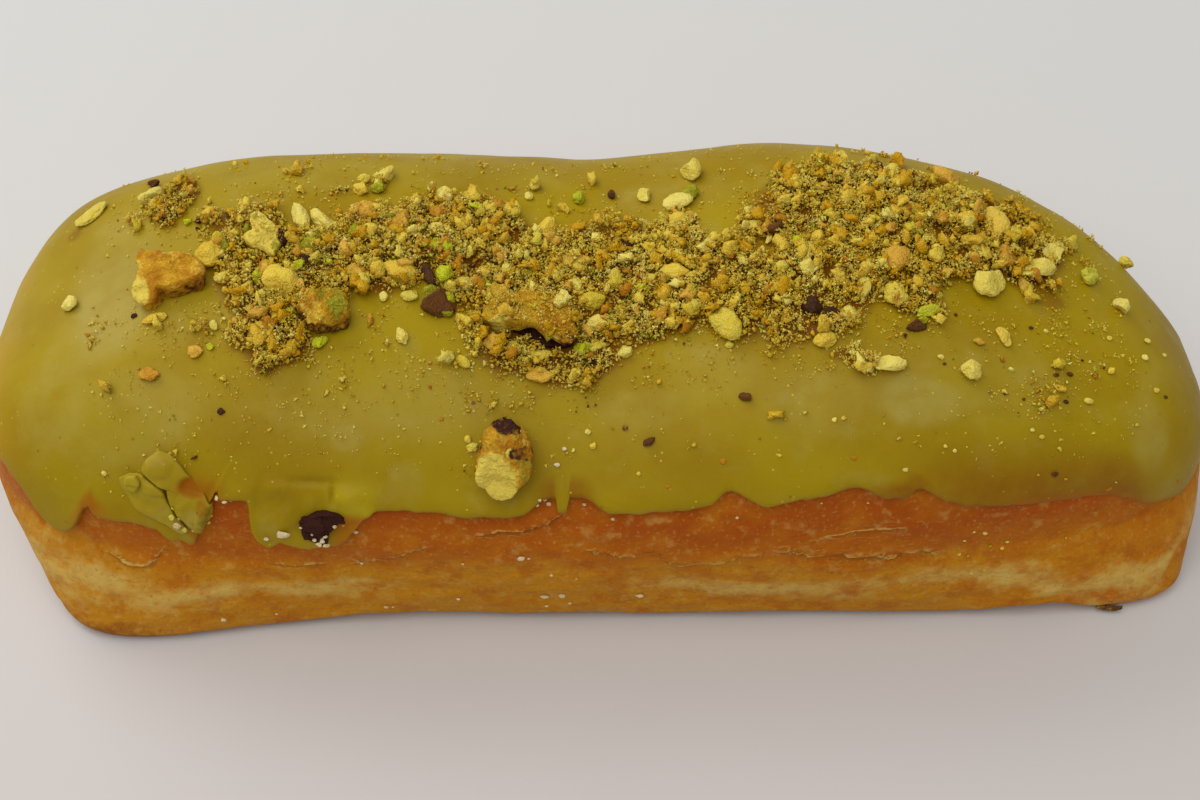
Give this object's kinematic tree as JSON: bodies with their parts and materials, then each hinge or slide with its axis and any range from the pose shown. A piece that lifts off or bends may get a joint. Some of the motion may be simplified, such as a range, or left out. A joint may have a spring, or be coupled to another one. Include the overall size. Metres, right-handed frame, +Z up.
{
  "type": "iced long john doughnut",
  "caption": "Long bar-shaped fried doughnut with green icing over its top half and crushed pistachio and larger broken nut pieces stuck along the top.",
  "frame": {"origin": "under the middle of the bar's box, on the surface that it lies on", "axes": "+X along the bar, to the right of the side the picture shows; -Y out of that side; +Z up through the icing"},
  "size_m": [0.1678, 0.067, 0.0466],
  "materials": {
    "fried_dough": "soft brown fried crust, slightly oily",
    "green_icing": "smooth set icing with a soft gloss, olive green",
    "toasted_nut": "dry, crumbly, orange brown",
    "pale_nut": "dry broken face, pale green yellow"
  },
  "bodies": {
    "root": {"dough": "fried_dough", "icing": "green_icing", "nut_chunk_left": "toasted_nut", "nut_half_middle": "toasted_nut", "nut_front": "toasted_nut", "nut_chunk_round": "toasted_nut", "nut_chunk_pale": "pale_nut"}
  },
  "joints": []
}
